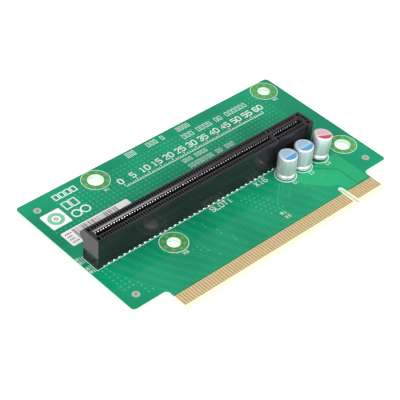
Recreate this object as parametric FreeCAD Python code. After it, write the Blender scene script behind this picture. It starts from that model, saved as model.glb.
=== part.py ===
"""PCI Express x16 riser card: board, card edge, vertical slot and three capacitors.

Millimetres, +Z up.  +X runs along the slot towards pin 1, +Y to the back edge.
The origin is the centre of the bounding box, at the lowest point under the board.
"""
import FreeCAD, Part
import math
import os

V = FreeCAD.Vector

# ---- board ---------------------------------------------------------------
TAIL = 1.2                      # what stands proud under the board
BOARD_L = 107.6
BOARD_D = 64.6                  # over the card edge
BOARD_T = 1.57
BOARD_BOTTOM = TAIL
BOARD_TOP = BOARD_BOTTOM + BOARD_T
CORNER_R = 1.3
INNER_R = 1.4
WEST = -BOARD_L / 2
EAST = BOARD_L / 2
BACK = BOARD_D / 2
FRONT = -BOARD_D / 2            # tip of the card edge

# ---- card edge -----------------------------------------------------------
KEY_X = 31.0                    # centre of the key notch
TONGUE_LEFT = KEY_X - 72.15
TONGUE_RIGHT = KEY_X + 12.15
SHOULDER_Y = FRONT + 9.14
BEVEL_LENGTH = 1.3
BEVEL_ANGLE = 20.0
NOTCH_W = 1.9
NOTCH_DEPTH = 8.75
PITCH = 1.0
PINS_SHORT = 11                 # pins 1 to 11, right of the key
PINS_LONG = 71                  # pins 12 to 82, left of the key
FIRST_PIN = 1.5                 # from the key to the nearest pin
PAD_W = 0.70
PAD_T = 0.05
PAD_FRONT = FRONT + BEVEL_LENGTH + 0.1
PAD_BACK = PAD_FRONT + 4.5

# ---- mounting holes: (x, y, radius) ---------------------------------------
HOLE_X = 10.95                  # centre of the pattern
HOLE_Y = 9.1
HOLE_DX = 74.1
HOLE_DY = 36.8
HOLE_R = 2.2
HOLE_R_WIDE = 2.7
MOUNTING_HOLES = [
    (HOLE_X - HOLE_DX / 2, HOLE_Y + HOLE_DY / 2, HOLE_R_WIDE),
    (HOLE_X + HOLE_DX / 2, HOLE_Y + HOLE_DY / 2, HOLE_R),
    (HOLE_X - HOLE_DX / 2, HOLE_Y - HOLE_DY / 2, HOLE_R),
    (HOLE_X + HOLE_DX / 2, HOLE_Y - HOLE_DY / 2, HOLE_R_WIDE),
]

# ---- slot: u from its key along X, v from its centreline along Y, w above the board
SLOT_KEY_X = 22.86
SLOT_Y = -0.69
SLOT_LEFT = -73.96
SLOT_RIGHT = 15.05
SLOT_HALF_W = 3.45
SLOT_H = 11.15
STAND_OFF = 0.6
GROOVE_LEFT = -72.46
GROOVE_RIGHT = 12.64
GROOVE_HALF_W = 0.9
GROOVE_FLOOR = 2.7
LEAD_IN = 0.4                   # chamfer round the groove's mouth
KEY_RIB_W = 1.75
RIM_H = 0.8                     # rim between the groove and the open pockets
RIM_OUT = 1.7
SPINE_HALF_W = 1.1              # what carries the groove's floor and the ribs between the cavities
CAVITY_FLOOR = GROOVE_FLOOR + 0.4
CAVITY_OUT = 2.95
CAVITY_W = 0.62
CORNER_POCKET = (1.0, 1.25, 1.6)
CORNER_POCKET_V = 2.32
CORNER_POCKETS_U = (-72.9, 0.2, 13.55)
PEG_R = 0.9
PEGS_U = (-72.75, 0.0)
PEG_HOLE_R = 0.97
PEG_SIDES = 8
FEET_U = ((SLOT_LEFT, -71.95), (-0.95, 0.95), (13.2, SLOT_RIGHT))

# ---- slot contacts: (v, w) places of the strip --------------------------------
CONTACT_W = 0.5
CONTACT_T = 0.24
OUTER_V = 2.76
INNER_V = 1.6
BUMP = (0.66, 9.75)             # what presses on the card
TIP = (0.98, 10.25)             # slanted back as a lead-in

# ---- capacitors -----------------------------------------------------------
CAP_XS = (22.37, 29.62, 37.17)
CAP_Y = -8.4
CAP_R = 3.15
CAP_H = 8.5
CAP_LEAD_R = 0.3
CAP_LEAD_PITCH = 2.5
CAP_LEANS = (0.0, 0.0, 7.5)     # degrees towards +X
CAP_SIDES = 18
LEAD_SIDES = 6
BUNG_R = 2.6
BUNG_SIDES = 12
BUNG_H = 0.3                    # what shows of the bung, between the board and the can

# ---- labels and bare copper -------------------------------------------------
LABEL_T = 0.08
BARCODE_LABEL = (-50.25, -24.45, 8.15, 14.70)
SQUARE_LABEL = (-50.55, -43.30, 17.22, 24.45)
LABEL_CUT = 0.3                 # clipped corners
FIDUCIALS = ((-49.0, 27.4), (-49.0, -18.6), (48.9, -18.7))
FIDUCIAL_R = 0.5
FIDUCIAL_SIDES = 8
CHIP_PADS = ((8.4, -22.8), (9.55, -22.8))
CHIP_PAD_SIZE = (0.62, 1.35)
FOIL_T = 0.04


def rounded_wire(corners):
    """Closed wire through (x, y, corner radius), anticlockwise, at z = 0."""
    starts, ends, middles = [], [], []
    count = len(corners)
    for i, (x, y, r) in enumerate(corners):
        here = V(x, y, 0)
        before = V(*corners[i - 1][:2], 0).sub(here).normalize()
        after = V(*corners[(i + 1) % count][:2], 0).sub(here).normalize()
        starts.append(here + before * r)
        ends.append(here + after * r)
        bisector = (before + after).normalize()
        middles.append(here + bisector * r * (math.sqrt(2) - 1))
    edges = []
    for i in range(count):
        if corners[i][2] > 0:
            edges.append(Part.Arc(starts[i], middles[i], ends[i]).toShape())
        edges.append(Part.makeLine(ends[i], starts[(i + 1) % count]))
    return Part.Wire(edges)


def plate(corners, bottom, height):
    """Flat plate with rounded corners."""
    face = Part.Face(rounded_wire(corners))
    face.translate(V(0, 0, bottom))
    return face.extrude(V(0, 0, height))


def box(x0, x1, y0, y1, z0, z1):
    return Part.makeBox(x1 - x0, y1 - y0, z1 - z0, V(x0, y0, z0))


def polygon_face(points):
    return Part.Face(Part.makePolygon(points + points[:1]))


def ring(radius, sides, z):
    """Corners of a regular polygon about Z."""
    turn = 2 * math.pi / sides
    return [V(radius * math.cos(turn * i), radius * math.sin(turn * i), z) for i in range(sides)]


def bar(radius, sides, x, y, z0, z1):
    """Upright bar of regular section."""
    shape = polygon_face(ring(radius, sides, z0)).extrude(V(0, 0, z1 - z0))
    shape.translate(V(x, y, 0))
    return shape


def turned(profile, sides):
    """Solid about Z through (radius, z) levels, from the bottom up."""
    rings = [ring(radius, sides, z) for radius, z in profile]
    faces = [polygon_face(rings[0]), polygon_face(rings[-1])]
    for low, high in zip(rings, rings[1:]):
        for i in range(sides):
            j = (i + 1) % sides
            faces.append(polygon_face([low[i], low[j], high[j], high[i]]))
    return Part.Solid(Part.Shell(faces))


def prism_x(profile, x0, x1):
    """Prism along X from a (y, z) profile."""
    return polygon_face([V(x0, y, z) for y, z in profile]).extrude(V(x1 - x0, 0, 0))


def hole(x, y, radius):
    return Part.makeCylinder(radius, BOARD_T + 2, V(x, y, BOARD_BOTTOM - 1))


def pin_offsets():
    """Pin places along X from the key, pin 1 first."""
    right = [FIRST_PIN + PITCH * i for i in range(PINS_SHORT)]
    left = [-FIRST_PIN - PITCH * i for i in range(PINS_LONG)]
    return right[::-1] + left


def capacitor_leads_xy(x):
    half = CAP_LEAD_PITCH / 2
    return ((x - half, CAP_Y), (x + half, CAP_Y))


# ---- board and what is printed or plated on it --------------------------------
def board():
    outline = [
        (WEST, SHOULDER_Y, CORNER_R),
        (TONGUE_LEFT, SHOULDER_Y, INNER_R),
        (TONGUE_LEFT, FRONT, 0),
        (TONGUE_RIGHT, FRONT, 0),
        (TONGUE_RIGHT, SHOULDER_Y, INNER_R),
        (EAST, SHOULDER_Y, CORNER_R),
        (EAST, BACK, CORNER_R),
        (WEST, BACK, CORNER_R),
    ]
    cuts = [hole(x, y, r) for x, y, r in MOUNTING_HOLES]
    cuts += [bar(PEG_HOLE_R, PEG_SIDES, SLOT_KEY_X + u, SLOT_Y, 0, BOARD_TOP + 1) for u in PEGS_U]
    for cap_x in CAP_XS:
        cuts += [lead(x, y) for x, y in capacitor_leads_xy(cap_x)]
    cuts.append(key_notch())
    cuts += edge_bevels()
    return plate(outline, BOARD_BOTTOM, BOARD_T).cut(cuts)


def key_notch():
    half = NOTCH_W / 2
    end = FRONT + NOTCH_DEPTH - half
    low = BOARD_BOTTOM - 1
    mouth = box(KEY_X - half, KEY_X + half, FRONT - 1, end, low, low + BOARD_T + 2)
    return mouth.fuse(hole(KEY_X, end, half)).removeSplitter()


def edge_bevels():
    run = BEVEL_LENGTH + 1
    drop = run * math.tan(math.radians(BEVEL_ANGLE))
    start = FRONT + BEVEL_LENGTH
    upper = [(start, BOARD_TOP), (start - run, BOARD_TOP), (start - run, BOARD_TOP - drop)]
    lower = [(start, BOARD_BOTTOM), (start - run, BOARD_BOTTOM), (start - run, BOARD_BOTTOM + drop)]
    span = (TONGUE_LEFT - 1, TONGUE_RIGHT + 1)
    return [prism_x(upper, *span), prism_x(lower, *span)]


def edge_contacts():
    """Plated pads of the card edge, pin 1 at the right."""
    pads = []
    for offset in pin_offsets():
        left = KEY_X + offset - PAD_W / 2
        pads.append(box(left, left + PAD_W, PAD_FRONT, PAD_BACK, BOARD_TOP, BOARD_TOP + PAD_T))
    return Part.makeCompound(pads)


def label(x0, x1, y0, y1):
    points = []
    for x, y, step_x, step_y in ((x0, y0, 1, 1), (x1, y0, -1, 1), (x1, y1, -1, -1), (x0, y1, 1, -1)):
        along_y = V(x, y + step_y * LABEL_CUT, BOARD_TOP)
        along_x = V(x + step_x * LABEL_CUT, y, BOARD_TOP)
        points += [along_y, along_x] if step_x == step_y else [along_x, along_y]
    return polygon_face(points).extrude(V(0, 0, LABEL_T))


def fiducials():
    return Part.makeCompound([
        bar(FIDUCIAL_R, FIDUCIAL_SIDES, x, y, BOARD_TOP, BOARD_TOP + FOIL_T) for x, y in FIDUCIALS
    ])


def chip_pads():
    half_x, half_y = CHIP_PAD_SIZE[0] / 2, CHIP_PAD_SIZE[1] / 2
    return Part.makeCompound([
        box(x - half_x, x + half_x, y - half_y, y + half_y, BOARD_TOP, BOARD_TOP + FOIL_T)
        for x, y in CHIP_PADS
    ])


# ---- slot: built at its key, then moved to the board --------------------------
def place_slot(shape):
    shape.translate(V(SLOT_KEY_X, SLOT_Y, BOARD_TOP))
    return shape


def mirror_v(profile, side):
    return [(side * v, w) for v, w in profile]


def groove_halves():
    """The mating groove on each side of the key rib, with its lead-in chamfer."""
    mouth = GROOVE_HALF_W + LEAD_IN
    profile = [
        (-GROOVE_HALF_W, GROOVE_FLOOR),
        (GROOVE_HALF_W, GROOVE_FLOOR),
        (GROOVE_HALF_W, SLOT_H - LEAD_IN),
        (mouth, SLOT_H),
        (-mouth, SLOT_H),
        (-GROOVE_HALF_W, SLOT_H - LEAD_IN),
    ]
    groove = prism_x(profile, GROOVE_LEFT, GROOVE_RIGHT)
    ramp = [V(GROOVE_RIGHT, 0, SLOT_H - LEAD_IN), V(GROOVE_RIGHT + LEAD_IN, 0, SLOT_H),
            V(GROOVE_RIGHT, 0, SLOT_H)]
    end = polygon_face(ramp).extrude(V(0, 2 * mouth, 0))
    end.translate(V(0, -mouth, 0))
    return groove.fuse(end).removeSplitter()


def key_rib():
    half = KEY_RIB_W / 2
    shoulder = SLOT_H - 1.0
    top = SLOT_H - 0.25
    points = [V(-half, 0, GROOVE_FLOOR), V(half, 0, GROOVE_FLOOR), V(half, 0, shoulder),
              V(0.2, 0, top), V(-0.2, 0, top), V(-half, 0, shoulder)]
    rib = polygon_face(points).extrude(V(0, 2 * GROOVE_HALF_W, 0))
    rib.translate(V(0, -GROOVE_HALF_W, 0))
    return rib


def tail_channels():
    """Open channels for the tails under the cavities, beside the spine."""
    reach = CAVITY_W / 2
    near = FIRST_PIN - reach
    short_end = FIRST_PIN + PITCH * (PINS_SHORT - 1) + reach
    long_end = FIRST_PIN + PITCH * (PINS_LONG - 1) + reach
    channels = []
    for u0, u1 in ((near, short_end), (-long_end, -near)):
        channels.append(box(u0, u1, SPINE_HALF_W, CAVITY_OUT, 0, CAVITY_FLOOR))
        channels.append(box(u0, u1, -CAVITY_OUT, -SPINE_HALF_W, 0, CAVITY_FLOOR))
    return channels


def cavity(offset, side):
    """One contact's cavity: open below, into the groove, and on top outside the rim."""
    profile = [
        (GROOVE_HALF_W, CAVITY_FLOOR),
        (CAVITY_OUT, CAVITY_FLOOR),
        (CAVITY_OUT, SLOT_H),
        (RIM_OUT, SLOT_H),
        (RIM_OUT, SLOT_H - RIM_H),
        (GROOVE_HALF_W, SLOT_H - RIM_H),
    ]
    half = CAVITY_W / 2
    return prism_x(mirror_v(profile, side), offset - half, offset + half)


def corner_pockets():
    size_u, size_v, depth = CORNER_POCKET
    pockets = []
    for u in CORNER_POCKETS_U:
        for side in (-1, 1):
            v = side * CORNER_POCKET_V
            pockets.append(box(u - size_u / 2, u + size_u / 2, v - size_v / 2, v + size_v / 2,
                               SLOT_H - depth, SLOT_H + 1))
    return pockets


def retention_ridge():
    """Hook on the back wall at the far end, which a card latch grips."""
    wall = SLOT_HALF_W - 0.2
    profile = [
        (wall, SLOT_H - 0.25),
        (SLOT_HALF_W + 0.6, SLOT_H - 0.6),
        (SLOT_HALF_W + 1.6, SLOT_H - 1.9),
        (SLOT_HALF_W + 1.6, SLOT_H - 3.2),
        (SLOT_HALF_W, SLOT_H - 4.5),
        (wall, SLOT_H - 4.5),
    ]
    return prism_x(profile, SLOT_LEFT, SLOT_LEFT + 3.2)


def slot_housing():
    body = box(SLOT_LEFT, SLOT_RIGHT, -SLOT_HALF_W, SLOT_HALF_W, STAND_OFF, SLOT_H)
    feet = [box(u0, u1, -SLOT_HALF_W, SLOT_HALF_W, 0, STAND_OFF) for u0, u1 in FEET_U]
    pegs = [bar(PEG_R, PEG_SIDES, u, 0, -BOARD_TOP, STAND_OFF) for u in PEGS_U]
    body = body.fuse(feet + pegs + [retention_ridge()]).removeSplitter()
    end_recess = box(GROOVE_RIGHT + 0.75, SLOT_RIGHT - 0.6, -1.4, 1.4, SLOT_H - 0.35, SLOT_H + 1)
    wall_notch = box(11.85, 12.35, -SLOT_HALF_W - 1, -SLOT_HALF_W + 0.4, SLOT_H - 3.3, SLOT_H + 1)
    cuts = [groove_halves().cut(key_rib()), end_recess, wall_notch]
    cuts += corner_pockets() + tail_channels()
    for offset in pin_offsets():
        cuts += [cavity(offset, -1), cavity(offset, 1)]
    return place_slot(body.cut(cuts))


def contact_profile(tail_v):
    """Spring strip from its tail on the board up to the bump."""
    half = CONTACT_T / 2
    return [(tail_v - half, 0), (tail_v + half, 0), TIP, BUMP]


def contact_row(side, tail_v, even):
    """Every second contact of one side."""
    profile = mirror_v(contact_profile(tail_v), side)
    strips = []
    for pin, offset in enumerate(pin_offsets(), start=1):
        if (pin % 2 == 0) == even:
            strips.append(prism_x(profile, offset - CONTACT_W / 2, offset + CONTACT_W / 2))
    return place_slot(Part.makeCompound(strips))


# ---- capacitors ------------------------------------------------------------------
def can():
    """Drawn aluminium can with a crimped bead above its foot."""
    return turned([
        (CAP_R - 0.1, BUNG_H),
        (CAP_R, BUNG_H + 0.15),
        (CAP_R, 1.3),
        (CAP_R - 0.35, 1.7),
        (CAP_R, 2.1),
        (CAP_R, CAP_H - 0.6),
        (CAP_R - 0.15, CAP_H - 0.2),
        (CAP_R - 0.5, CAP_H),
    ], CAP_SIDES)


def place_capacitor(shape, x, degrees):
    """Tip towards +X over the foot of the can, then move to the board."""
    shape.rotate(V(BUNG_R, 0, 0), V(0, 1, 0), degrees)
    shape.translate(V(x, CAP_Y, BOARD_TOP))
    return shape


def capacitor_can(x, degrees):
    return place_capacitor(can(), x, degrees)


def capacitor_bung(x, degrees):
    return place_capacitor(bar(BUNG_R, BUNG_SIDES, 0, 0, 0, BUNG_H), x, degrees)


def lead(x, y):
    return bar(CAP_LEAD_R, LEAD_SIDES, x, y, 0, BOARD_TOP + CAP_LEAD_PITCH)


def capacitor_leads(x, degrees):
    """Two wires from the underside of the bung, through the board."""
    above = place_capacitor(bar(BUNG_R, BUNG_SIDES, 0, 0, 0, CAP_H), x, degrees)
    return Part.makeCompound([lead(lx, ly).cut(above) for lx, ly in capacitor_leads_xy(x)])


def all_parts():
    parts = {
        "board": board(),
        "edge_contacts_top": edge_contacts(),
        "slot_housing": slot_housing(),
        "slot_contacts_front_outer": contact_row(-1, OUTER_V, True),
        "slot_contacts_front_inner": contact_row(-1, INNER_V, False),
        "slot_contacts_back_inner": contact_row(1, INNER_V, True),
        "slot_contacts_back_outer": contact_row(1, OUTER_V, False),
        "barcode_label": label(*BARCODE_LABEL),
        "square_label": label(*SQUARE_LABEL),
        "fiducials": fiducials(),
        "chip_pads": chip_pads(),
    }
    for number, (x, degrees) in enumerate(zip(CAP_XS, CAP_LEANS), start=1):
        parts[f"capacitor_{number}_can"] = capacitor_can(x, degrees)
        parts[f"capacitor_{number}_bung"] = capacitor_bung(x, degrees)
        parts[f"capacitor_{number}_leads"] = capacitor_leads(x, degrees)
    return parts


os.makedirs("parts", exist_ok=True)
for name, shape in all_parts().items():
    shape.exportStep(f"parts/{name}.step")
    print(name, len(shape.Solids), shape.isValid(), round(shape.Volume, 3))
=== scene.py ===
"""Looks of the riser card: mask, copper, ink, labels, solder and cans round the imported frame.

Places are in the frame's own coordinates: +X along the slot, +Y to the back, +Z up.
Sizes are written in millimetres and turned into metres by MM.
"""
import bpy
import math
import random
from mathutils import Matrix, Vector

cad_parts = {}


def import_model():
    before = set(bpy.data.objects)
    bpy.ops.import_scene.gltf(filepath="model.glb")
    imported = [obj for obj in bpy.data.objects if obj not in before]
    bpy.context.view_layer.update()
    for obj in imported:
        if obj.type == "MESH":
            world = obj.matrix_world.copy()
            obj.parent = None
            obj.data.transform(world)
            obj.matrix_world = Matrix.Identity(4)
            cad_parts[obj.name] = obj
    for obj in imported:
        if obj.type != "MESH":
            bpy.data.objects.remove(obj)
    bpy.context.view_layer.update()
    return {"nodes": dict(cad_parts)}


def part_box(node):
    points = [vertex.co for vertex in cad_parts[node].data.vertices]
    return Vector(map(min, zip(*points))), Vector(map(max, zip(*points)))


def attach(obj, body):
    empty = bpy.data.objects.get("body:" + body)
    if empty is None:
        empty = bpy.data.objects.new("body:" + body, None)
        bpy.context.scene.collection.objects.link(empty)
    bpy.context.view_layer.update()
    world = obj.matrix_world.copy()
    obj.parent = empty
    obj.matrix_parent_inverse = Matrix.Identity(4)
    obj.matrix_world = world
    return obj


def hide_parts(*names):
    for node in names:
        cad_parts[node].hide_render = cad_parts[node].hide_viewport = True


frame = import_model()

MM = 0.001
NODES = frame["nodes"]


def mm_box(node):
    """A CAD node's lowest and highest corners, in millimetres."""
    low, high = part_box(node)
    return low / MM, high / MM


BOARD_LOW, BOARD_HIGH = mm_box("board")
SLOT_LOW, SLOT_HIGH = mm_box("slot_housing")
TOP = BOARD_HIGH.z
BOTTOM = BOARD_LOW.z
INK_T = 0.03                    # half of the ink lines' height
FILM_T = 0.012                  # copper areas that show through the mask
TRACE_T = 0.014
LINE_T = 0.02                   # vias and gap lines stand a little above the areas
PAD_T = 0.05
PAD_HALF_W = 0.35
PRINT_T = 0.01                  # label ink

# ---- places taken from the frame ----------------------------------------------
TONGUE_LOW, TONGUE_HIGH = mm_box("edge_contacts_top")
MASK_EDGE = TONGUE_HIGH.y + 0.15
PAD_EDGE = TONGUE_LOW.y
KEY_X = TONGUE_HIGH.x - 11.85
SLOT_KEY_X = SLOT_HIGH.x - 15.05
SLOT_CLEAR = 3.5                # from the slot's middle to where the traces come out
VIA_PITCH = 1.66
SLOT_Y = (mm_box("slot_contacts_front_outer")[0].y + mm_box("slot_contacts_back_outer")[1].y) / 2
FIRST_PIN = 1.5
PINS = [FIRST_PIN + i for i in range(11)][::-1] + [-FIRST_PIN - i for i in range(71)]
OUTER_V = 2.76
INNER_V = 1.6
HOLES = [                       # x, y, radius, radius of the printed ring, ring of vias
    (-26.1, 27.5, 2.7, 4.66, 3.85),
    (48.0, 27.5, 2.2, 4.66, 3.3),
    (-26.1, -9.3, 2.2, 4.5, 3.3),
    (48.0, -9.3, 2.7, 4.66, 3.85),
]
CAPS = [(mm_box(f"capacitor_{n}_leads")[0] + mm_box(f"capacitor_{n}_leads")[1]) / 2 for n in (1, 2, 3)]
CAP_LEANS = (0.0, 0.0, 7.5)
BUNG_R = 2.6
LEAD_X = 1.25                   # from a capacitor's middle to its leads
FIDUCIALS = ((-49.0, 27.4), (-49.0, -18.6), (48.9, -18.7))


# ---- node helpers ----------------------------------------------------------------
class Nodes:
    """A material's node tree, with short calls for the nodes used here."""

    def __init__(self, name):
        self.material = bpy.data.materials.new(name)
        self.material.use_nodes = True
        self.tree = self.material.node_tree
        self.shader = self.tree.nodes["Principled BSDF"]
        self.place = self.add("ShaderNodeTexCoord").outputs["Object"]

    def add(self, kind, **settings):
        node = self.tree.nodes.new(kind)
        for key, value in settings.items():
            setattr(node, key, value)
        return node

    def link(self, source, target):
        if isinstance(source, (int, float, tuple)):
            target.default_value = source
        else:
            self.tree.links.new(source, target)

    def math(self, operation, a, b=0.0, c=0.0):
        node = self.add("ShaderNodeMath", operation=operation)
        for value, socket in zip((a, b, c), node.inputs):
            self.link(value, socket)
        return node.outputs[0]

    def mix(self, factor, a, b):
        node = self.add("ShaderNodeMix", data_type="RGBA")
        self.link(factor, node.inputs["Factor"])
        self.link(a, node.inputs[6])
        self.link(b, node.inputs[7])
        return node.outputs[2]

    def noise(self, per_mm, detail=3.0, stretch=(1, 1, 1)):
        """Noise with about per_mm features to the millimetre."""
        mapping = self.add("ShaderNodeMapping")
        mapping.inputs["Scale"].default_value = stretch
        self.link(self.place, mapping.inputs["Vector"])
        node = self.add("ShaderNodeTexNoise")
        node.inputs["Scale"].default_value = per_mm / MM
        node.inputs["Detail"].default_value = detail
        self.link(mapping.outputs["Vector"], node.inputs["Vector"])
        return node.outputs["Fac"]

    def ramp(self, factor, low, high, a, b):
        """Colour a below low, b above high, smooth between."""
        node = self.add("ShaderNodeMapRange", clamp=True)
        self.link(factor, node.inputs[0])
        node.inputs[1].default_value = low
        node.inputs[2].default_value = high
        return self.mix(node.outputs[0], a, b)

    def bump(self, height, depth_mm):
        node = self.add("ShaderNodeBump")
        node.inputs["Strength"].default_value = 1.0
        node.inputs["Distance"].default_value = depth_mm * MM
        self.link(height, node.inputs["Height"])
        self.link(node.outputs["Normal"], self.shader.inputs["Normal"])

    def finish(self, color, roughness, metallic=0.0, specular=0.5):
        self.link(color, self.shader.inputs["Base Color"])
        self.link(roughness, self.shader.inputs["Roughness"])
        self.shader.inputs["Metallic"].default_value = metallic
        self.shader.inputs["Specular IOR Level"].default_value = specular
        return self.material


def rgb(red, green, blue):
    """Linear colour from plain 0 to 255 values."""
    def linear(value):
        value /= 255
        return value / 12.92 if value <= 0.04045 else ((value + 0.055) / 1.055) ** 2.4
    return (linear(red), linear(green), linear(blue), 1.0)


def plain(name, color, spread, roughness, metallic=0.0, per_mm=1.0, depth_mm=0.004):
    """A finish with gentle mottling in colour, roughness and surface."""
    n = Nodes(name)
    mottle = n.noise(per_mm)
    darker = tuple(c * (1 - spread) for c in color[:3]) + (1.0,)
    lighter = tuple(min(1.0, c * (1 + spread)) for c in color[:3]) + (1.0,)
    tint = n.ramp(mottle, 0.35, 0.65, darker, lighter)
    rough = n.math("MULTIPLY_ADD", mottle, 0.12, roughness - 0.06)
    n.bump(n.noise(per_mm * 6, 4.0), depth_mm)
    return n.finish(tint, rough, metallic)


# ---- materials ----------------------------------------------------------------------
MASK_GREEN = rgb(6, 148, 106)
MASK_SPECULAR = 0.12
MASK_ROUGHNESS = 0.13
LAMINATE_ROUGHNESS = 0.5


def mask_tint(n, base):
    """Solder mask colour over the weave and copper below it."""
    cloud = n.noise(0.05, 2.0)
    grain = n.noise(1.6, 4.0)
    deep = tuple(c * 0.86 for c in base[:3]) + (1.0,)
    pale = tuple(min(1.0, c * 1.1 + 0.004) for c in base[:3]) + (1.0,)
    broad = n.ramp(cloud, 0.35, 0.65, deep, pale)
    return n.mix(n.math("MULTIPLY", grain, 0.12), broad, pale)


def make_board():
    """Green mask on both faces, bare laminate on the edges, the bores and the card edge.

    Between the gold fingers the laminate is painted a little darker than on the bevel, as painted shade
    between the fingers.
    """
    n = Nodes("board_laminate_and_mask")
    normal = n.add("ShaderNodeSeparateXYZ")
    n.link(n.add("ShaderNodeNewGeometry").outputs["Normal"], normal.inputs[0])
    at = n.add("ShaderNodeSeparateXYZ")
    n.link(n.place, at.inputs[0])
    flat = n.math("GREATER_THAN", n.math("ABSOLUTE", normal.outputs[2]), 0.95)
    masked = n.math("MULTIPLY", flat, n.math("GREATER_THAN", at.outputs[1], MASK_EDGE * MM))
    weave = n.noise(0.8, 3.0, (1, 1, 6))
    tongue = n.math("LESS_THAN", at.outputs[1], MASK_EDGE * MM)
    cut = n.ramp(weave, 0.3, 0.7, rgb(206, 236, 212), rgb(232, 246, 228))
    cream = n.ramp(weave, 0.3, 0.7, rgb(240, 236, 200), rgb(248, 245, 216))
    # painted shade: the flat laminate in the pads' band, between the fingers, is a darker cream
    between = n.math("MULTIPLY", flat, n.math("GREATER_THAN", at.outputs[1], PAD_EDGE * MM))
    cream = n.mix(between, cream, n.ramp(weave, 0.3, 0.7, rgb(230, 219, 178), rgb(240, 229, 190)))
    laminate = n.mix(tongue, cut, cream)
    color = n.mix(masked, laminate, mask_tint(n, MASK_GREEN))
    rough = n.math("MULTIPLY_ADD", masked, MASK_ROUGHNESS - LAMINATE_ROUGHNESS, LAMINATE_ROUGHNESS)
    n.bump(n.noise(0.9, 2.0), 0.004)
    return n.finish(color, rough, 0.0, MASK_SPECULAR)


def make_mask(name, base):
    """Mask over copper, vias or gaps, in a tint of its own."""
    n = Nodes(name)
    n.bump(n.noise(0.9, 2.0), 0.004)
    return n.finish(mask_tint(n, base), MASK_ROUGHNESS, 0.0, MASK_SPECULAR)


def make_plastic():
    """Black moulded plastic with fine flow marks along the slot."""
    n = Nodes("slot_plastic")
    flow = n.noise(0.25, 3.0, (0.25, 1.0, 1.6))
    grain = n.noise(7.0, 2.0)
    color = n.ramp(flow, 0.3, 0.7, rgb(27, 27, 31), rgb(42, 42, 46))
    rough = n.math("MULTIPLY_ADD", grain, 0.08, 0.1)
    n.bump(grain, 0.002)
    return n.finish(color, rough, 0.0, 0.3)


def make_can():
    """Drawn aluminium with faint vertical streaks."""
    n = Nodes("capacitor_can")
    streak = n.noise(1.2, 3.0, (1, 1, 0.08))
    color = n.ramp(streak, 0.3, 0.7, rgb(206, 208, 216), rgb(232, 234, 240))
    rough = n.math("MULTIPLY_ADD", streak, 0.14, 0.34)
    n.bump(streak, 0.003)
    return n.finish(color, rough, 0.6)


M = {
    "board": make_board(),
    "mask_light": make_mask("mask_over_pour", rgb(30, 168, 112)),
    # darker mask: the pour's gap line, and the painted shade line above the fingers
    "mask_dark": make_mask("mask_over_gap_and_painted_shade", rgb(10, 124, 80)),
    "mask_trace": make_mask("mask_over_traces", rgb(62, 160, 108)),
    "mask_land": make_mask("mask_over_land", rgb(66, 164, 92)),
    "via": make_mask("mask_over_vias", rgb(44, 178, 126)),
    "plastic": make_plastic(),
    "can": make_can(),
    "gold": plain("gold_plate", rgb(184, 154, 106), 0.1, 0.4, 0.1, 1.5),
    "contact": plain("contact_metal", rgb(222, 220, 214), 0.02, 0.22, 0.95, 2.0),
    "pad": plain("tinned_pad", rgb(204, 192, 142), 0.08, 0.4, 0.1, 2.0),
    "tin": plain("tinned_wire", rgb(214, 216, 218), 0.08, 0.24, 0.85, 2.0),
    "solder": plain("solder", rgb(222, 224, 226), 0.08, 0.26, 0.6, 1.5, 0.01),
    "paper": plain("label_paper", rgb(252, 252, 252), 0.01, 0.6, 0.0, 2.0),
    "copper": plain("bare_copper", rgb(166, 118, 108), 0.1, 0.4, 0.2, 2.0),
    "laminate": plain("bare_laminate", rgb(166, 186, 166), 0.06, 0.5, 0.0, 2.0),
    "rubber": plain("capacitor_bung", rgb(30, 30, 30), 0.15, 0.6, 0.0, 2.0),
    "ink": plain("white_ink", rgb(244, 253, 248), 0.02, 0.55, 0.0, 4.0),
    "label_ink": plain("grey_label_ink", rgb(116, 118, 122), 0.12, 0.6, 0.0, 4.0),
    "label_green": plain("green_label_ink", rgb(118, 206, 160), 0.05, 0.6, 0.0, 4.0),
    "blue": plain("blue_print", rgb(74, 160, 220), 0.06, 0.4, 0.0, 3.0),
    "blue_pale": plain("pale_blue_print", rgb(176, 200, 216), 0.05, 0.42, 0.0, 3.0),
    "blue_mark": plain("grey_blue_print", rgb(128, 164, 196), 0.06, 0.42, 0.0, 3.0),
    "red_mark": plain("rose_print", rgb(206, 150, 160), 0.06, 0.42, 0.0, 3.0),
    "red": plain("red_print", rgb(198, 52, 76), 0.06, 0.4, 0.0, 3.0),
    "red_pale": plain("pale_red_print", rgb(222, 196, 200), 0.05, 0.42, 0.0, 3.0),
    # dark olive discs standing for the open via holes: painted shade
    "via_hole_shade": plain("via_hole", rgb(96, 110, 62), 0.2, 0.6, 0.0, 3.0),
    "tan": plain("land_copper", rgb(172, 154, 104), 0.1, 0.4, 0.0, 3.0),
}


# ---- mesh helpers: everything is written in millimetres -------------------------------
def piece(name, vertices, faces, material, smooth=False):
    """A closed mesh that rides on the card."""
    mesh = bpy.data.meshes.new(name)
    mesh.from_pydata([Vector(v) * MM for v in vertices], [], faces)
    mesh.update()
    made = bpy.data.objects.new(name, mesh)
    bpy.context.scene.collection.objects.link(made)
    mesh.materials.append(M[material])
    if smooth:
        mesh.shade_smooth()
        mesh.set_sharp_from_angle(angle=math.radians(40))
    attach(made, "root")
    return made


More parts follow.
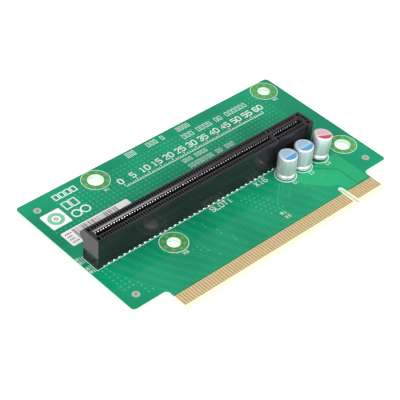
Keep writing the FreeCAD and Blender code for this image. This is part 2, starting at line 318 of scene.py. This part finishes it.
class Build:
    """Gathers simple closed shapes into one mesh."""

    def __init__(self):
        self.vertices = []
        self.faces = []

    def prism(self, outline, z0, z1):
        """Upright prism over an anticlockwise outline."""
        start, count = len(self.vertices), len(outline)
        self.vertices += [(x, y, z0) for x, y in outline]
        self.vertices += [(x, y, z1) for x, y in outline]
        self.faces.append([start + count + i for i in range(count)])
        self.faces.append([start + i for i in range(count)][::-1])
        for i in range(count):
            j = (i + 1) % count
            self.faces.append([start + i, start + j, start + count + j, start + count + i])

    def box(self, x0, x1, y0, y1, z0, z1):
        self.prism([(x0, y0), (x1, y0), (x1, y1), (x0, y1)], z0, z1)

    def disc(self, x, y, radius, z0, z1, sides=12):
        self.prism(circle(x, y, radius, sides), z0, z1)

    def ring(self, x, y, inner, outer, z0, z1, sides=32):
        """Flat washer."""
        start = len(self.vertices)
        for radius, z in ((outer, z0), (outer, z1), (inner, z1), (inner, z0)):
            self.vertices += [(px, py, z) for px, py in circle(x, y, radius, sides)]
        for level in range(4):
            for i in range(sides):
                j = (i + 1) % sides
                a, b = start + level * sides, start + (level + 1) % 4 * sides
                self.faces.append([a + i, a + j, b + j, b + i])

    def turned(self, x, y, profile, sides=16):
        """Closed solid of revolution through (radius, z), from the bottom up."""
        start = len(self.vertices)
        for radius, z in profile:
            self.vertices += [(px, py, z) for px, py in circle(x, y, radius, sides)]
        for level in range(len(profile) - 1):
            a = start + level * sides
            for i in range(sides):
                j = (i + 1) % sides
                self.faces.append([a + i, a + j, a + sides + j, a + sides + i])
        self.faces.append([start + i for i in range(sides)][::-1])
        top = start + (len(profile) - 1) * sides
        self.faces.append([top + i for i in range(sides)])

    def strip(self, points, width, z0, z1):
        """Flat ribbon of one width along a line."""
        left, right = [], []
        for i, here in enumerate(points):
            before = Vector(points[max(i - 1, 0)])
            after = Vector(points[min(i + 1, len(points) - 1)])
            along = (after - before).normalized()
            side = Vector((-along.y, along.x)) * width / 2
            left.append(tuple(Vector(here) + side))
            right.append(tuple(Vector(here) - side))
        self.prism(right + left[::-1], z0, z1)

    def make(self, name, material, record_slot=None, smooth=False):
        return piece(name, self.vertices, self.faces, material, smooth)


def circle(x, y, radius, sides):
    turn = 2 * math.pi / sides
    return [(x + radius * math.cos(turn * i), y + radius * math.sin(turn * i)) for i in range(sides)]


def ink_lines(name, lines, width):
    """Printed lines on the board: each line is (points, closed)."""
    curve = bpy.data.curves.new(name, "CURVE")
    curve.dimensions = "3D"
    curve.bevel_depth = width / 2
    curve.bevel_resolution = 1
    curve.use_fill_caps = True
    for points, closed in lines:
        spline = curve.splines.new("POLY")
        spline.points.add(len(points) - 1)
        for point, (x, y) in zip(spline.points, points):
            point.co = (x, y, 0, 1)
        spline.use_cyclic_u = closed
    drawn = bpy.data.objects.new(name, curve)
    mesh = bpy.data.meshes.new_from_object(drawn)
    bpy.data.objects.remove(drawn)
    flatten = Matrix.Scale(2 * INK_T / width, 4, (0, 0, 1))
    mesh.transform(Matrix.Scale(MM, 4) @ Matrix.Translation((0, 0, TOP)) @ flatten)
    mesh.materials.append(M["ink"])
    mesh.name = name
    made = bpy.data.objects.new(name, mesh)
    bpy.context.scene.collection.objects.link(made)
    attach(made, "root")
    return made


# ---- strokes of the few plain characters used -------------------------------------------
GLYPHS = {                      # lines through places of a 4 wide by 6 high cell
    "0": [[(0, 1), (0, 5), (1, 6), (3, 6), (4, 5), (4, 1), (3, 0), (1, 0), (0, 1)]],
    "1": [[(1, 5), (2, 6), (2, 0)], [(1, 0), (3, 0)]],
    "2": [[(0, 5), (1, 6), (3, 6), (4, 5), (4, 4), (0, 0), (4, 0)]],
    "3": [[(0, 5), (1, 6), (3, 6), (4, 5), (4, 4), (3, 3), (4, 2), (4, 1), (3, 0), (1, 0), (0, 1)],
          [(1.5, 3), (3, 3)]],
    "4": [[(3, 0), (3, 6), (0, 2), (4, 2)]],
    "5": [[(4, 6), (0, 6), (0, 3.4), (3, 3.6), (4, 2.7), (4, 1), (3, 0), (1, 0), (0, 1)]],
    "6": [[(4, 5), (3, 6), (1, 6), (0, 5), (0, 1), (1, 0), (3, 0), (4, 1), (4, 2), (3, 3), (0, 3)]],
    "8": [[(1, 3), (0, 4), (0, 5), (1, 6), (3, 6), (4, 5), (4, 4), (3, 3), (1, 3), (0, 2), (0, 1),
           (1, 0), (3, 0), (4, 1), (4, 2), (3, 3)]],
    "C": [[(4, 5), (3, 6), (1, 6), (0, 5), (0, 1), (1, 0), (3, 0), (4, 1)]],
    "H": [[(0, 0), (0, 6)], [(4, 0), (4, 6)], [(0, 3), (4, 3)]],
    "L": [[(0, 6), (0, 0), (4, 0)]],
    "O": [[(0, 1), (0, 5), (1, 6), (3, 6), (4, 5), (4, 1), (3, 0), (1, 0), (0, 1)]],
    "R": [[(0, 0), (0, 6), (3, 6), (4, 5), (4, 4), (3, 3), (0, 3)], [(2, 3), (4, 0)]],
    "S": [[(4, 5), (3, 6), (1, 6), (0, 5), (0, 4), (1, 3), (3, 3), (4, 2), (4, 1), (3, 0), (1, 0), (0, 1)]],
    "T": [[(0, 6), (4, 6)], [(2, 6), (2, 0)]],
    "X": [[(0, 0), (4, 6)], [(0, 6), (4, 0)]],
}


def text_lines(text, x, y, height, pitch):
    """Stroke lines of plain characters, from their lower left corner."""
    scale = height / 6
    lines = []
    for i, character in enumerate(text):
        for stroke in GLYPHS[character]:
            lines.append(([(x + i * pitch + px * scale, y + py * scale) for px, py in stroke], False))
    return lines


# ---- finishes on the CAD nodes --------------------------------------------------------
def dress(names, material):
    for name in names:
        mesh = NODES[name].data
        mesh.materials.clear()
        mesh.materials.append(M[material])


def dress_nodes():
    dress(["board"], "board")
    dress(["edge_contacts_top"], "gold")
    dress(["chip_pads"], "pad")
    dress(["slot_housing"], "plastic")
    dress(["barcode_label", "square_label"], "paper")
    dress(["fiducials"], "copper")
    dress([f"capacitor_{n}_bung" for n in (1, 2, 3)], "rubber")
    dress([f"capacitor_{n}_leads" for n in (1, 2, 3)], "tin")
    dress([f"capacitor_{n}_can" for n in (1, 2, 3)], "can")


# ---- copper under the mask ----------------------------------------------------------------
def via_grid():
    """Stitching vias in rows behind the slot."""
    places = []
    for row in range(10):
        for column in range(58):
            x, y = -50.4 + VIA_PITCH * column, 12.6 + VIA_PITCH * row
            clear = all(math.hypot(x - hx, y - hy) > ring + 0.5 for hx, hy, _, ring, _ in HOLES)
            on_label = x < -42.5 and y > 16.5 or x < -23.5 and y < 15.3
            if clear and not on_label:
                places.append((x, y))
    return places


def via_clusters():
    """Runs of vias along the traces in front of the slot."""
    places = []
    for column, rows in ((0, 7), (1, 7), (2, 3)):
        places += [(-50.4 + VIA_PITCH * column, -15.2 + VIA_PITCH * row) for row in range(rows)]
    places += [(-45.4, -15.2 - VIA_PITCH * row) for row in range(4)]
    places += [(-43.7, -20.1)]
    places += [(-23.8, -15.2), (-22.1, -15.2), (-22.1, -16.8), (-20.5, -16.8), (-20.5, -18.4)]
    places += [(-18.9, -21.7)]
    places += [(-15.8, -6.8), (-14.0, -8.6), (-14.0, -10.2), (-12.2, -13.5), (-12.2, -15.2)]
    places += [(-10.6, -18.5), (-10.6, -20.0), (-8.9, -23.2)]
    for step in range(7):
        x, y = 2.7 + 0.55 * step, -8.5 - VIA_PITCH * step
        places += [(x + VIA_PITCH * column, y) for column in range(4)]
    return places


def vias():
    """Filled vias show through the mask on both faces."""
    for side, z0, z1 in (("top", TOP, TOP + LINE_T), ("bottom", BOTTOM - LINE_T, BOTTOM)):
        lands = Build()
        for x, y in via_grid() + via_clusters():
            lands.disc(x, y, 0.4, z0, z1, 10)
        lands.make(f"via_lands_{side}", "via")


def round_holes(x, y, share):
    """The place to which a point of a trace moves, so that the trace passes outside the hole rings."""
    for hx, hy, _, ring, _ in HOLES[:3]:
        apart = max(math.hypot(x - hx, y - hy), 0.2)
        push = math.sqrt(1 + share * ((ring + 0.2) / apart) ** 2)
        x, y = hx + (x - hx) * push, hy + (y - hy) * push
    return x, y


def traces():
    """Signal traces from the slot's tails to the pads of the card edge, stubs above the pads, and a painted
    shade line along the mask's edge.
    """
    shift = KEY_X - SLOT_KEY_X
    y_slot = SLOT_Y - SLOT_CLEAR
    y_pads = MASK_EDGE + 1.0
    for side, z0, z1 in (("top", TOP, TOP + TRACE_T), ("bottom", BOTTOM - TRACE_T, BOTTOM)):
        lines = Build()
        for number, offset in enumerate(PINS):
            if number % 4 in (0, 3) or offset > 0:
                continue
            x0 = SLOT_KEY_X + offset
            points = []
            for step in range(37):
                t = step / 36
                ease = 0.65 * t + 0.35 * t * t * (3 - 2 * t)
                fade = min(max((1 - t) / 0.42, 0), 1)
                share = fade * fade * (3 - 2 * fade)
                points.append(round_holes(x0 + shift * ease, y_slot + (y_pads - y_slot) * t, share))
            lines.strip(points, 0.18, z0, z1)
        for offset in PINS:
            x = KEY_X + offset
            reach = 1.3 if offset % 2 > 1 else 0.8
            lines.strip([(x, MASK_EDGE + 0.05), (x, MASK_EDGE + reach)], 0.3, z0, z1)
        lines.make(f"traces_{side}", "mask_trace")
        # painted shade: a dark green strip along the mask's edge just above the fingers
        shade = Build()
        for x0, x1 in ((TONGUE_LOW.x, KEY_X - 1.2), (KEY_X + 1.2, TONGUE_HIGH.x)):
            shade.strip([(x0, MASK_EDGE + 0.16), (x1, MASK_EDGE + 0.16)], 0.3, z0, z1)
        shade.make(f"pad_shade_{side}", "mask_dark")


def pour():
    """Lighter copper area by the key with its gap line, and the line to the chip pads."""
    area = Build()
    corners = [(23.5, -15.0), (29.5, -21.5), (31.8, -22.0), (33.5, -26.4), (42.7, -26.4), (42.7, -11.0),
               (23.5, -11.0)]
    area.prism(corners, TOP, TOP + FILM_T)
    area.make("power_pour", "mask_light")
    feed = Build()
    feed.strip([(9.6, -20.0), (9.7, -18.0), (11.0, -16.0), (17.5, -10.5)], 0.24, TOP, TOP + 0.016)
    feed.make("chip_feed", "via")
    gap = Build()
    gap.strip([(31.5, -11.5), (37.5, -17.2), (37.5, -25.7), (39.5, -25.7)], 0.35, TOP, TOP + LINE_T)
    gap.make("pour_gap", "mask_dark")


def hole_lands():
    """Each mounting hole's land with its ring of eight vias, on both faces."""
    lands, studs, centres = Build(), Build(), Build()
    for x, y, radius, ring, via_ring in HOLES:
        for z0, z1, lift in ((TOP, TOP + FILM_T, LINE_T), (BOTTOM - FILM_T, BOTTOM, -LINE_T)):
            lands.ring(x, y, radius + 0.02, ring - 0.1, z0, z1, 48)
            for px, py in circle(x, y, via_ring, 8):
                studs.disc(px, py, 0.48, z0 + min(lift, 0), z1 + max(lift, 0), 14)
                # the vias' holes are flat dark discs: painted shade of the open holes
                centres.disc(px, py, 0.2, z0 + min(lift * 2, 0), z1 + max(lift * 2, 0), 10)
    lands.make("hole_lands", "mask_land")
    studs.make("hole_via_rings", "tan")
    centres.make("hole_via_holes", "via_hole_shade")


def fiducial_rings():
    """Bare laminate round each copper dot."""
    rings = Build()
    for x, y in FIDUCIALS:
        rings.ring(x, y, 0.5, 1.25, TOP, TOP + LINE_T, 32)
    rings.make("fiducial_rings", "laminate")


# ---- card edge -----------------------------------------------------------------------
def bottom_pads():
    """The underside's fingers, opposite the top ones."""
    pads = Build()
    for offset in PINS:
        x = KEY_X + offset
        pads.box(x - PAD_HALF_W, x + PAD_HALF_W, TONGUE_LOW.y, TONGUE_HIGH.y, BOTTOM - PAD_T, BOTTOM)
    pads.make("edge_contacts_bottom", "gold", "gold_plate")


# ---- solder ----------------------------------------------------------------------------
def tail_places():
    """Each tail's place: outer and inner rows take turns on both sides."""
    places = []
    for number, offset in enumerate(PINS, start=1):
        even = number % 2 == 0
        places.append((SLOT_KEY_X + offset, SLOT_Y - (OUTER_V if even else INNER_V)))
        places.append((SLOT_KEY_X + offset, SLOT_Y + (INNER_V if even else OUTER_V)))
    return places


TAIL_CONE = [(0.1, 1.05), (0.22, 1.0), (0.26, 0.7), (0.42, 0.2), (0.55, 0.02), (0.55, 0.0)]
LEAD_CONE = [(0.34, 0.9), (0.42, 0.55), (0.8, 0.1), (0.9, 0.0)]
COLLAR = [(0.5, 0.0), (0.48, 0.05), (0.36, 0.18), (0.28, 0.36)]
COLLAR_OUT = 0.14


def solder():
    """Cones under the board, and fillets round the tails in the gap under the slot."""
    joints = Build()
    for x, y in tail_places():
        joints.turned(x, y, [(radius, BOTTOM - down) for radius, down in TAIL_CONE], 10)
    for cap in CAPS:
        for side in (-LEAD_X, LEAD_X):
            joints.turned(cap.x + side, cap.y, [(radius, BOTTOM - down) for radius, down in LEAD_CONE], 14)
    joints.make("solder_joints_bottom", "solder", smooth=True)
    collars = Build()
    for x, y in tail_places():
        outward = COLLAR_OUT if y > SLOT_Y else -COLLAR_OUT
        collars.turned(x, y + outward, [(radius, TOP + up) for radius, up in COLLAR], 12)
    collars.make("solder_collars_top", "solder", smooth=True)


# ---- slot contacts, bent as the real strips are ------------------------------------------
CONTACT_HALF_T = 0.1
CONTACT_HALF_W = 0.25
BUMP_HALF_W = 0.17
BUMP_FROM = 9.0                 # height at which the strip narrows


def contact_path(tail_v):
    """Middle of the strip from its tail to the tip: out from the slot's middle, and up."""
    return [(tail_v, 0.0), (tail_v - 0.12, 1.6), (tail_v - 0.32 * (tail_v - 0.9) - 0.2, 4.5),
            (0.62 * 1.1 + 0.38 * tail_v, 7.4), (1.2, 8.8), (0.99, 9.3), (0.81, 9.6), (0.76, 9.82),
            (0.81, 10.02), (0.96, 10.18)]


def contact_row(name, side, tail_v, even):
    """One row of strips in place of the frame's plainer ones."""
    path = [Vector(point) for point in contact_path(tail_v)]
    inner, outer = [], []
    for i, here in enumerate(path):
        along = (path[min(i + 1, len(path) - 1)] - path[max(i - 1, 0)]).normalized()
        across = Vector((along.y, -along.x)) * CONTACT_HALF_T
        inner.append(here - across)
        outer.append(here + across)
    widths = [CONTACT_HALF_W if up < BUMP_FROM else BUMP_HALF_W for _, up in path]
    outline = list(zip(inner + outer[::-1], widths + widths[::-1]))
    if side > 0:
        outline = outline[::-1]
    strips = Build()
    for number, offset in enumerate(PINS, start=1):
        if (number % 2 == 0) != even:
            continue
        x = SLOT_KEY_X + offset
        start, count = len(strips.vertices), len(outline)
        for way in (-1, 1):
            strips.vertices += [(x + way * half_w, SLOT_Y + side * out, TOP + max(up, 0.0))
                                for (out, up), half_w in outline]
        for i in range(count):
            j = (i + 1) % count
            strips.faces.append([start + i, start + count + i, start + count + j, start + j])
        pairs = len(path)
        for i in range(pairs - 1):
            a, b, c, d = i, i + 1, count - 2 - i, count - 1 - i
            strips.faces.append([start + k for k in (a, b, c, d)])
            strips.faces.append([start + count + k for k in (d, c, b, a)])
    new_name = name.replace("slot_contacts", "contact_springs")
    made = strips.make(new_name, "contact", "contact_metal", smooth=True)
    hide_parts(name)


def slot_contacts():
    contact_row("slot_contacts_front_outer", -1, OUTER_V, True)
    contact_row("slot_contacts_front_inner", -1, INNER_V, False)
    contact_row("slot_contacts_back_inner", 1, INNER_V, True)
    contact_row("slot_contacts_back_outer", 1, OUTER_V, False)


# ---- ink ----------------------------------------------------------------------------------
def cells(x, y, width, height, count):
    """A row of open write-on cells."""
    lines = []
    for i in range(count):
        x0, x1 = x + i * width + 0.3, x + (i + 1) * width - 0.3
        lines.append(([(x0, y), (x1, y), (x1, y + height), (x0, y + height)], True))
    return lines


def words(x, y, width, height, counts):
    """Groups of small cells with a cell's gap between them."""
    lines = []
    for count in counts:
        lines += cells(x, y, width, height, count)
        x += (count + 1) * width
    return lines


def scale_lines(x, y, length):
    """A plain millimetre scale: short ticks, longer ones every five."""
    lines = []
    for step in range(length + 1):
        reach = 1.5 if step % 5 == 0 else 0.8
        lines.append(([(x + step, y), (x + step, y + reach)], False))
    return lines + [([(x, y), (x + length, y)], False)]


def scale_numbers(x, y, length, height):
    """Its numbers, every five, centred over their ticks."""
    lines = []
    for step in range(0, length + 1, 5):
        text = str(step)
        pitch = height * 0.92
        middle = (len(text) - 1) * pitch / 2 + height / 3
        lines += text_lines(text, x + step - middle, y, height, pitch)
    return lines


SMALL_CELLS = [                 # x, y, width, height and number of cells in each group
    (1.2, 16.1, 1.3, 1.5, (3, 4)),
    (1.2, 13.1, 1.3, 1.6, (8, 2, 3)),
    (9.2, 25.2, 1.6, 1.9, (3, 4, 2, 6)),
    (-11.3, 29.2, 1.3, 2.2, (3,)),
    (-2.7, 29.3, 1.5, 1.9, (3, 1)),
    (10.2, 29.3, 1.4, 1.9, (4,)),
]


def ring_line(x, y, radius):
    return (circle(x, y, radius, 56), True)


def board_ink():
    """White print: rings, outlines, designators, contact numbers, a scale and plain marks."""
    rings = [ring_line(x, y, ring) for x, y, _, ring, _ in HOLES]
    outline = [(SLOT_LOW.x - 0.3, SLOT_Y - 3.56), (SLOT_HIGH.x + 0.3, SLOT_Y - 3.56),
               (SLOT_HIGH.x + 0.3, SLOT_Y + 3.85), (SLOT_LOW.x - 0.3, SLOT_Y + 3.85)]
    ink_lines("ink_hole_rings", rings, 0.2)
    ink_lines("ink_slot_outline", [(outline, True)], 0.22)
    ink_lines("ink_capacitor_rings", [ring_line(cap.x, cap.y, 3.5) for cap in CAPS], 0.36)
    small = []
    for number, cap in enumerate(CAPS, start=1):
        small += text_lines(f"C{number}", cap.x - 0.85, cap.y - 5.1, 1.1, 1.0)
    for number, (x, y, _, ring, _) in enumerate(HOLES[:3], start=1):
        small += text_lines(f"H{number}", x - 0.9, y - ring - 1.5, 1.0, 1.0)
    ink_lines("ink_designators", small, 0.2)
    slot_name = text_lines("SLOT1", -7.7, -6.9, 2.0, 1.75) + text_lines("X16", 11.2, -6.9, 2.0, 1.75)
    ink_lines("ink_slot_name", slot_name, 0.3)
    ink_lines("ink_scale_ticks", scale_lines(-20.5, 18.9, 60), 0.26)
    ink_lines("ink_scale_numbers", scale_numbers(-20.5, 20.9, 60, 2.2), 0.5)
    small_cells = []
    for x, y, width, height, counts in SMALL_CELLS:
        small_cells += words(x, y, width, height, counts)
    ink_lines("ink_small_cells", small_cells, 0.3)
    marks = cells(-42.0, 27.5, 2.25, 2.2, 4) + cells(-41.9, 22.2, 2.8, 3.2, 2)
    marks += [ring_line(x, 19.1, 1.5) for x in (-40.3, -36.9)]
    ink_lines("ink_mark_cells", marks, 0.56)
    numbers = []
    for text, y in (("81", 2.9), ("82", 1.2), ("82", -1.9), ("81", -3.6)):
        numbers += text_lines(text, SLOT_LOW.x - 2.35, y - 0.4, 1.1, 1.0)
    numbers += text_lines("1", SLOT_HIGH.x + 0.8, SLOT_Y + 1.2, 1.0, 1.0)
    numbers += text_lines("1", SLOT_HIGH.x + 0.8, SLOT_Y - 2.2, 1.0, 1.0)
    numbers += text_lines("R1", 8.0, -21.3, 1.2, 1.2)
    ink_lines("ink_contact_numbers", numbers, 0.18)


# ---- labels ----------------------------------------------------------------------------------
def label_print():
    """Plain bars and blocks on the long label, plain rings on the square one."""
    low, high = mm_box("barcode_label")
    chance = random.Random(7)
    bars = Build()
    x = low.x + 3.8
    while x < low.x + 20.6:
        width = chance.choice((0.16, 0.16, 0.3, 0.45))
        bars.box(x, x + width, low.y + 1.4, high.y - 0.5, high.z, high.z + PRINT_T)
        x += width + chance.choice((0.18, 0.28, 0.4))
    for row in range(4):
        for step in range(chance.randint(2, 4)):
            x0 = low.x + 0.8 + step * 0.65
            y0 = high.y - 1.6 - row * 1.3
            bars.box(x0, x0 + 0.42, y0, y0 + 0.6, high.z, high.z + PRINT_T)
    bars.make("barcode_bars", "label_ink")
    low, high = mm_box("square_label")
    middle = (low + high) / 2
    ring = Build()
    ring.ring(middle.x, middle.y, 1.45, 2.7, high.z, high.z + PRINT_T, 40)
    ring.make("label_ring", "label_green")
    core = Build()
    core.ring(middle.x, middle.y, 0.35, 0.7, high.z, high.z + PRINT_T, 24)
    core.make("label_dot", "label_ink")


# ---- capacitors ---------------------------------------------------------------------------------
CAN_PROFILE = [(2.95, 0.3), (3.12, 0.36), (3.15, 0.6), (3.15, 1.25), (3.06, 1.4), (2.88, 1.6), (2.84, 1.72),
               (2.88, 1.84), (3.06, 2.04), (3.15, 2.2), (3.15, 7.9), (3.13, 8.1), (3.07, 8.28), (2.98, 8.4),
               (2.88, 8.47), (2.8, 8.48), (2.76, 8.44)]
PRINT_R = 2.8
PRINT_Z = (8.43, 8.47)
MARK_ROWS = ((-1.75, 3), (-0.95, 5), (-0.15, 5))
MARK_CORNERS = ((0.2, -0.26), (0.2, 0.26), (-0.2, 0.26), (-0.2, -0.26))


def lean(made, cap, degrees):
    """The same tip about the foot of the can as in the frame."""
    foot = Matrix.Translation(Vector((cap.x + BUNG_R, cap.y, TOP)) * MM)
    home = Matrix.Translation(Vector((-BUNG_R, 0, 0)) * MM)
    made.data.transform(foot @ Matrix.Rotation(math.radians(degrees), 4, "Y") @ home)


def arc(start, end, steps):
    """Points along the edge of the printed face."""
    angles = [start + (end - start) / steps * i for i in range(steps + 1)]
    return [(PRINT_R * math.cos(angle), PRINT_R * math.sin(angle)) for angle in angles]


def capacitor(number, cap, degrees, colors, chord, turn):
    """A can, and its printed face: a strong segment, a pale ground and rows of small marks."""
    can = Build()
    can.turned(0, 0, CAN_PROFILE, 64)
    can = can.make(f"can_{number}", "can", "capacitor_can", True)
    lean(can, cap, degrees)
    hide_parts(f"capacitor_{number}_can")
    half = math.acos(chord / PRINT_R)
    down = -math.pi / 2 + turn
    stripe, ground, marks = Build(), Build(), Build()
    stripe.prism(arc(down - half, down + half, 24), *PRINT_Z)
    ground.prism(arc(down + half, down - half + 2 * math.pi, 36), *PRINT_Z)
    toward = Vector((math.cos(down), math.sin(down)))
    across = Vector((-toward.y, toward.x))
    for row, count in MARK_ROWS:
        for step in range(count):
            middle = toward * row + across * (step - (count - 1) / 2) * 0.8
            corners = [middle + toward * a + across * b for a, b in MARK_CORNERS]
            marks.prism([tuple(corner) for corner in corners], PRINT_Z[1], PRINT_Z[1] + PRINT_T)
    for name, build, color in zip(("stripe", "print", "marks"), (stripe, ground, marks), colors):
        part = build.make(f"can_{number}_{name}", color)
        lean(part, cap, degrees)


def capacitors():
    for number, cap, degrees in zip((1, 2), CAPS, CAP_LEANS):
        capacitor(number, cap, degrees, ("blue", "blue_pale", "blue_mark"), 0.9, 0.0)
    capacitor(3, CAPS[2], CAP_LEANS[2], ("red", "red_pale", "red_mark"), 1.0, math.radians(-18))


# ---- stage: floor, light and camera ----------------------------------------------------------------
WORLD_LIGHT = 0.7
FLOOR_GLOW = 0.8
FLOOR_REACH = 3.0               # metres
CAMERA_TURN = (-45.41, 41.27, 4.24)     # azimuth, elevation and roll in degrees
CAMERA_TARGET = Vector((-7.06, -0.15, TOP)) * MM
CAMERA_DISTANCE = 0.42846


def seen_directly(tree):
    """1 for what the camera, a reflection or a view through glass meets, 0 for plain lighting."""
    path = tree.nodes.new("ShaderNodeLightPath")
    total = path.outputs["Is Camera Ray"]
    for name in ("Is Glossy Ray", "Is Transmission Ray"):
        either = tree.nodes.new("ShaderNodeMath")
        either.operation = "MAXIMUM"
        tree.links.new(total, either.inputs[0])
        tree.links.new(path.outputs[name], either.inputs[1])
        total = either.outputs[0]
    return total


def world():
    """Even white surroundings, which light the card a little less than they show."""
    made = bpy.data.worlds.new("studio")
    made.use_nodes = True
    background = made.node_tree.nodes["Background"]
    background.inputs["Color"].default_value = (1, 1, 1, 1)
    level = made.node_tree.nodes.new("ShaderNodeMapRange")
    level.inputs["To Min"].default_value = WORLD_LIGHT
    level.inputs["To Max"].default_value = 1.0
    made.node_tree.links.new(seen_directly(made.node_tree), level.inputs["Value"])
    made.node_tree.links.new(level.outputs[0], background.inputs["Strength"])
    bpy.context.scene.world = made


def floor():
    """Pale ground that takes the shadow, is plain white to the camera and is clear from below."""
    mesh = bpy.data.meshes.new("floor")
    corners = [(x * FLOOR_REACH, y * FLOOR_REACH, 0) for x, y in ((-1, -1), (1, -1), (1, 1), (-1, 1))]
    mesh.from_pydata(corners, [], [[0, 1, 2, 3]])
    made = bpy.data.objects.new("floor", mesh)
    bpy.context.scene.collection.objects.link(made)
    made.visible_diffuse = False
    n = Nodes("floor")
    n.shader.inputs["Base Color"].default_value = (0.9, 0.9, 0.9, 1)
    n.shader.inputs["Roughness"].default_value = 0.9
    glow = n.add("ShaderNodeEmission")
    n.link(n.math("MULTIPLY", seen_directly(n.tree), FLOOR_GLOW), glow.inputs["Strength"])
    both = n.add("ShaderNodeAddShader")
    n.link(n.shader.outputs[0], both.inputs[0])
    n.link(glow.outputs[0], both.inputs[1])
    clear = n.add("ShaderNodeMixShader")
    n.link(n.add("ShaderNodeNewGeometry").outputs["Backfacing"], clear.inputs[0])
    n.link(both.outputs[0], clear.inputs[1])
    n.link(n.add("ShaderNodeBsdfTransparent").outputs[0], clear.inputs[2])
    n.link(clear.outputs[0], n.tree.nodes["Material Output"].inputs["Surface"])
    mesh.materials.append(n.material)


def area_light(name, place, target, size, watts):
    data = bpy.data.lights.new(name, "AREA")
    data.shape = "DISK"
    data.size = size
    data.energy = watts
    made = bpy.data.objects.new(name, data)
    made.location = place
    made.rotation_euler = (Vector(target) - Vector(place)).to_track_quat("-Z", "Y").to_euler()
    bpy.context.scene.collection.objects.link(made)


def lights():
    """Soft light on the left end, soft light from the front, and a small one for the slot's edge."""
    area_light("key", (-0.5, -0.22, 0.2), (-0.03, 0, 0), 0.3, 2.0)
    area_light("fill", (0.2, -0.5, 0.34), (0.0, 0, 0), 0.3, 1.5)
    area_light("edge", (0.349, -0.538, 0.459), (-0.03, 0, 0.013), 0.07, 0.14)


def camera():
    """The photograph's viewpoint."""
    azimuth, elevation, roll = (math.radians(angle) for angle in CAMERA_TURN)
    back = Vector((math.sin(azimuth) * math.cos(elevation), -math.cos(azimuth) * math.cos(elevation),
                   math.sin(elevation)))
    right = Vector((0, 0, 1)).cross(back).normalized()
    up = back.cross(right)
    tilted_right = math.cos(roll) * right + math.sin(roll) * up
    tilted_up = -math.sin(roll) * right + math.cos(roll) * up
    data = bpy.data.cameras.new("camera")
    data.sensor_width = 36.0
    data.lens = 124.55
    data.clip_start = 0.01
    made = bpy.data.objects.new("camera", data)
    turn = Matrix((tilted_right, tilted_up, back)).transposed().to_4x4()
    made.matrix_world = Matrix.Translation(CAMERA_TARGET + back * CAMERA_DISTANCE) @ turn
    bpy.context.scene.collection.objects.link(made)
    bpy.context.scene.camera = made


dress_nodes()
vias()
traces()
pour()
hole_lands()
fiducial_rings()
bottom_pads()
solder()
slot_contacts()
board_ink()
label_print()
capacitors()
world()
floor()
lights()
camera()
bpy.context.scene.view_settings.view_transform = "Standard"
